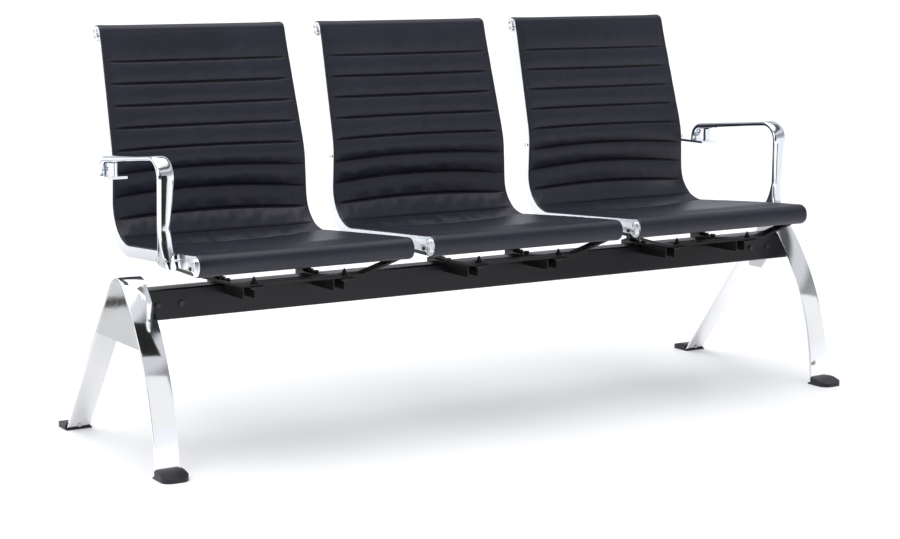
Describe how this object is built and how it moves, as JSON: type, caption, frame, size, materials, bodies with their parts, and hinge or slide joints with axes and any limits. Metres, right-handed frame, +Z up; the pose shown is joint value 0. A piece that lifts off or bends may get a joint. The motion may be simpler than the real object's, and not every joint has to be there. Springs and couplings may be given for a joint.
{
  "type": "beam seating",
  "caption": "Beam bench of ribbed black sling seats in bright side rails, on a black beam between arched chrome legs, with loop armrests at the outer ends.",
  "frame": {"origin": "middle of the outline in X and Y, on the floor", "axes": "+X along the beam to the sitter's left, -Y the way the sitter faces, +Z up"},
  "size_m": [1.868, 0.653, 0.9238],
  "materials": {
    "leatherette": "black leatherette with a soft satin grain",
    "polished_aluminium": "polished",
    "arm_chrome": "polished chrome plate",
    "leg_chrome": "polished chrome plate",
    "beam_steel": "black satin powder coat",
    "black_steel": "black satin paint",
    "black_fasteners": "black oxide",
    "bright_screws": "bright zinc",
    "shoe_plastic": "black moulded plastic, matt"
  },
  "bodies": {
    "root": {"arm_left": "arm_chrome", "arm_rear_bracket_left": "arm_chrome", "arm_rear_bracket_right": "arm_chrome", "arm_right": "arm_chrome", "arm_screws": "bright_screws", "beam": "beam_steel", "bow_screws": "black_fasteners", "bracket_bolts": "black_fasteners", "leg_screws": "black_fasteners", "leg_spigot_left": "black_steel", "leg_spigot_right": "black_steel", "leg_strap_left": "leg_chrome", "leg_strap_right": "leg_chrome", "leg_web_left": "leg_chrome", "leg_web_right": "leg_chrome", "seat_1_bow_bolts": "black_fasteners", "seat_1_bracket_left": "black_steel", "seat_1_bracket_right": "black_steel", "seat_1_cap_screws": "bright_screws", "seat_1_end_caps": "polished_aluminium", "seat_1_front_bar": "polished_aluminium", "seat_1_front_bow": "black_steel", "seat_1_rail_left": "polished_aluminium", "seat_1_rail_right": "polished_aluminium", "seat_1_rear_bow": "black_steel", "seat_1_sling": "leatherette", "seat_1_spacers": "black_steel", "seat_1_top_bar": "polished_aluminium", "seat_2_bow_bolts": "black_fasteners", "seat_2_bracket_left": "black_steel", "seat_2_bracket_right": "black_steel", "seat_2_cap_screws": "bright_screws", "seat_2_end_caps": "polished_aluminium", "seat_2_front_bar": "polished_aluminium", "seat_2_front_bow": "black_steel", "seat_2_rail_left": "polished_aluminium", "seat_2_rail_right": "polished_aluminium", "seat_2_rear_bow": "black_steel", "seat_2_sling": "leatherette", "seat_2_spacers": "black_steel", "seat_2_top_bar": "polished_aluminium", "seat_3_bow_bolts": "black_fasteners", "seat_3_bracket_left": "black_steel", "seat_3_bracket_right": "black_steel", "seat_3_cap_screws": "bright_screws", "seat_3_end_caps": "polished_aluminium", "seat_3_front_bar": "polished_aluminium", "seat_3_front_bow": "black_steel", "seat_3_rail_left": "polished_aluminium", "seat_3_rail_right": "polished_aluminium", "seat_3_rear_bow": "black_steel", "seat_3_sling": "leatherette", "seat_3_spacers": "black_steel", "seat_3_top_bar": "polished_aluminium", "shoe_front_left": "shoe_plastic", "shoe_front_right": "shoe_plastic", "shoe_rear_left": "shoe_plastic", "shoe_rear_right": "shoe_plastic", "shoe_screws": "bright_screws"}
  },
  "joints": []
}
